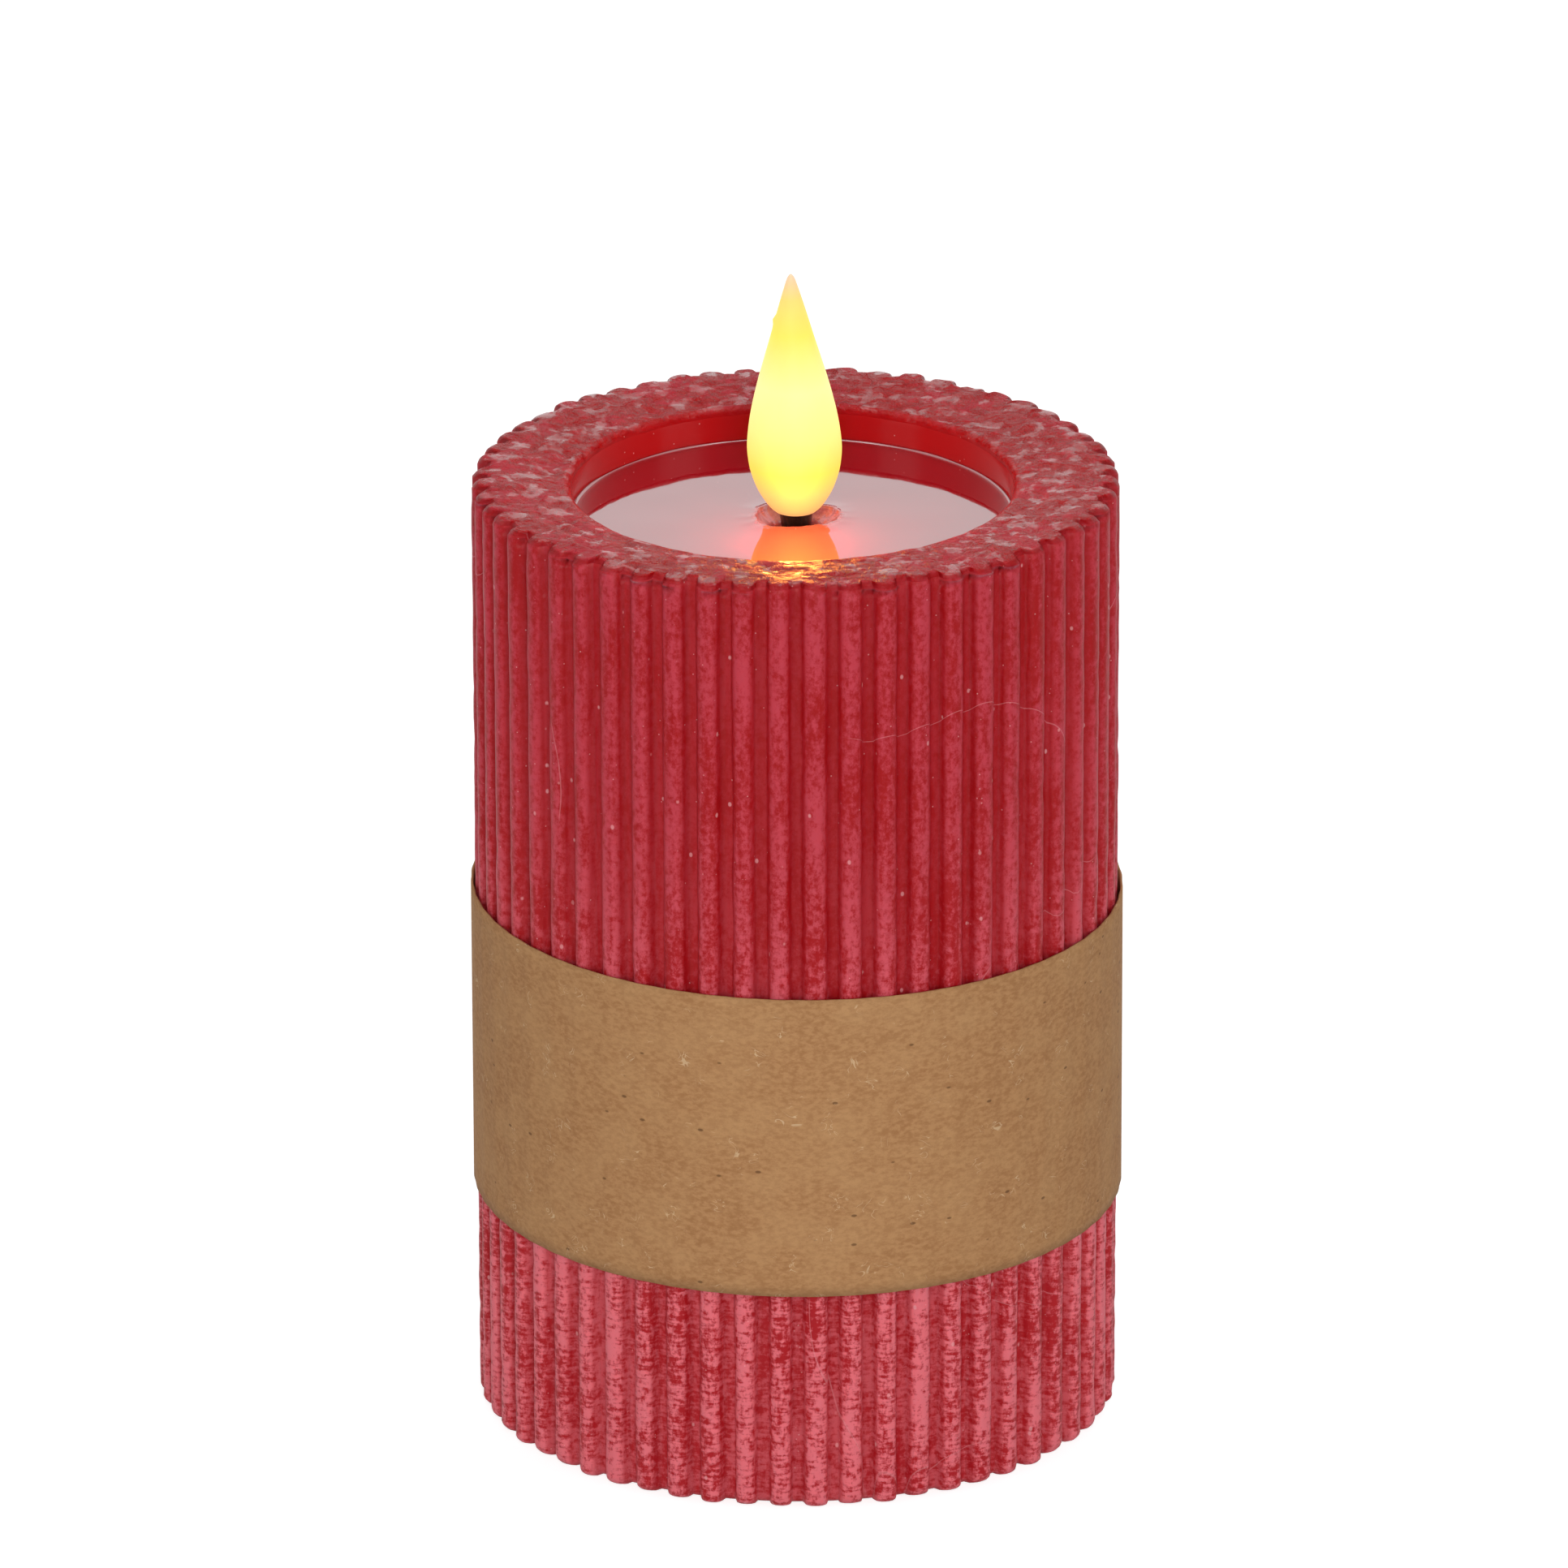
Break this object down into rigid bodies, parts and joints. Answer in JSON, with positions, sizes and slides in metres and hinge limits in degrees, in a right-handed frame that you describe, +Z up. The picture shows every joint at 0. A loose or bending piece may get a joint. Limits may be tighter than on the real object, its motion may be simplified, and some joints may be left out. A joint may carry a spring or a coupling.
{
  "type": "flameless led candle",
  "caption": "Ribbed red wax pillar candle with a lit flame-shaped bulb on a black wick, a plain kraft paper band and a battery core with an underside door.",
  "frame": {"origin": "centre of the face that the candle stands on", "axes": "+Z up along the pillar to the flame, -Y towards the front of the candle"},
  "size_m": [0.0758, 0.0761, 0.1379],
  "materials": {
    "red_wax": "frosted wax, matt",
    "pool_wax": "poured wax, glossy",
    "kraft_paper": "uncoated kraft",
    "flame_plastic": "milky translucent",
    "clear_led": "clear epoxy",
    "black_abs": "fine moulded texture",
    "black_gloss": "glossy",
    "spring_steel": "nickel plated",
    "screw_steel": "zinc plated",
    "cell_sleeve": "printed sleeve, left plain",
    "board_green": "solder mask",
    "chip_black": "moulded epoxy",
    "can_metal": "drawn can",
    "resistor_black": "chip resistor",
    "wire_red": "PVC",
    "wire_black": "PVC",
    "wire_white": "PVC",
    "lead_tin": "tinned"
  },
  "bodies": {
    "candle": {"wax_pillar": "red_wax", "pool_disc": "pool_wax", "flame_shell": "flame_plastic", "flame_led": "clear_led", "led_leads": "lead_tin", "flame_stem": "black_gloss", "flame_holder": "black_abs", "core_housing": "black_abs", "battery_base": "black_abs", "positive_contact": "spring_steel", "negative_contact": "spring_steel", "negative_spring": "spring_steel", "aa_cell_left": "cell_sleeve", "aa_cell_right": "cell_sleeve", "switch_body": "can_metal", "switch_pins": "lead_tin", "control_board": "board_green", "controller_chip": "chip_black", "timer_crystal": "can_metal", "capacitor": "can_metal", "resistors": "resistor_black", "base_screws": "screw_steel", "board_screws": "screw_steel", "holder_screws": "screw_steel", "switch_wire_on": "wire_white", "switch_wire_timer": "wire_white", "led_wire_red": "wire_red", "led_wire_black": "wire_black"},
    "door": {"battery_door": "black_abs", "door_contact": "spring_steel", "door_spring": "spring_steel"},
    "latch": {"latch_tab": "black_abs"},
    "switch": {"switch_knob": "black_abs"},
    "band": {"kraft_band": "kraft_paper"}
  },
  "joints": [
    {"name": "door_hinge", "type": "hinge", "parent": "candle", "child": "door", "pos_m": [0, 0.0095, 0.0034], "axis": [1, 0, 0], "range_deg": [0, 100]},
    {"name": "latch_flex", "type": "hinge", "parent": "door", "child": "latch", "pos_m": [0, -0.01455, 0.008], "axis": [1, 0, 0], "range_deg": [0, 6], "stiffness_Nm_per_rad": 0.2},
    {"name": "switch_slide", "type": "slide", "parent": "candle", "child": "switch", "axis": [1, 0, 0], "range_m": [0, 0.004]},
    {"name": "band_slide", "type": "slide", "parent": "candle", "child": "band", "axis": [0, 0, 1], "range_m": [-0.026, 0.113]}
  ]
}
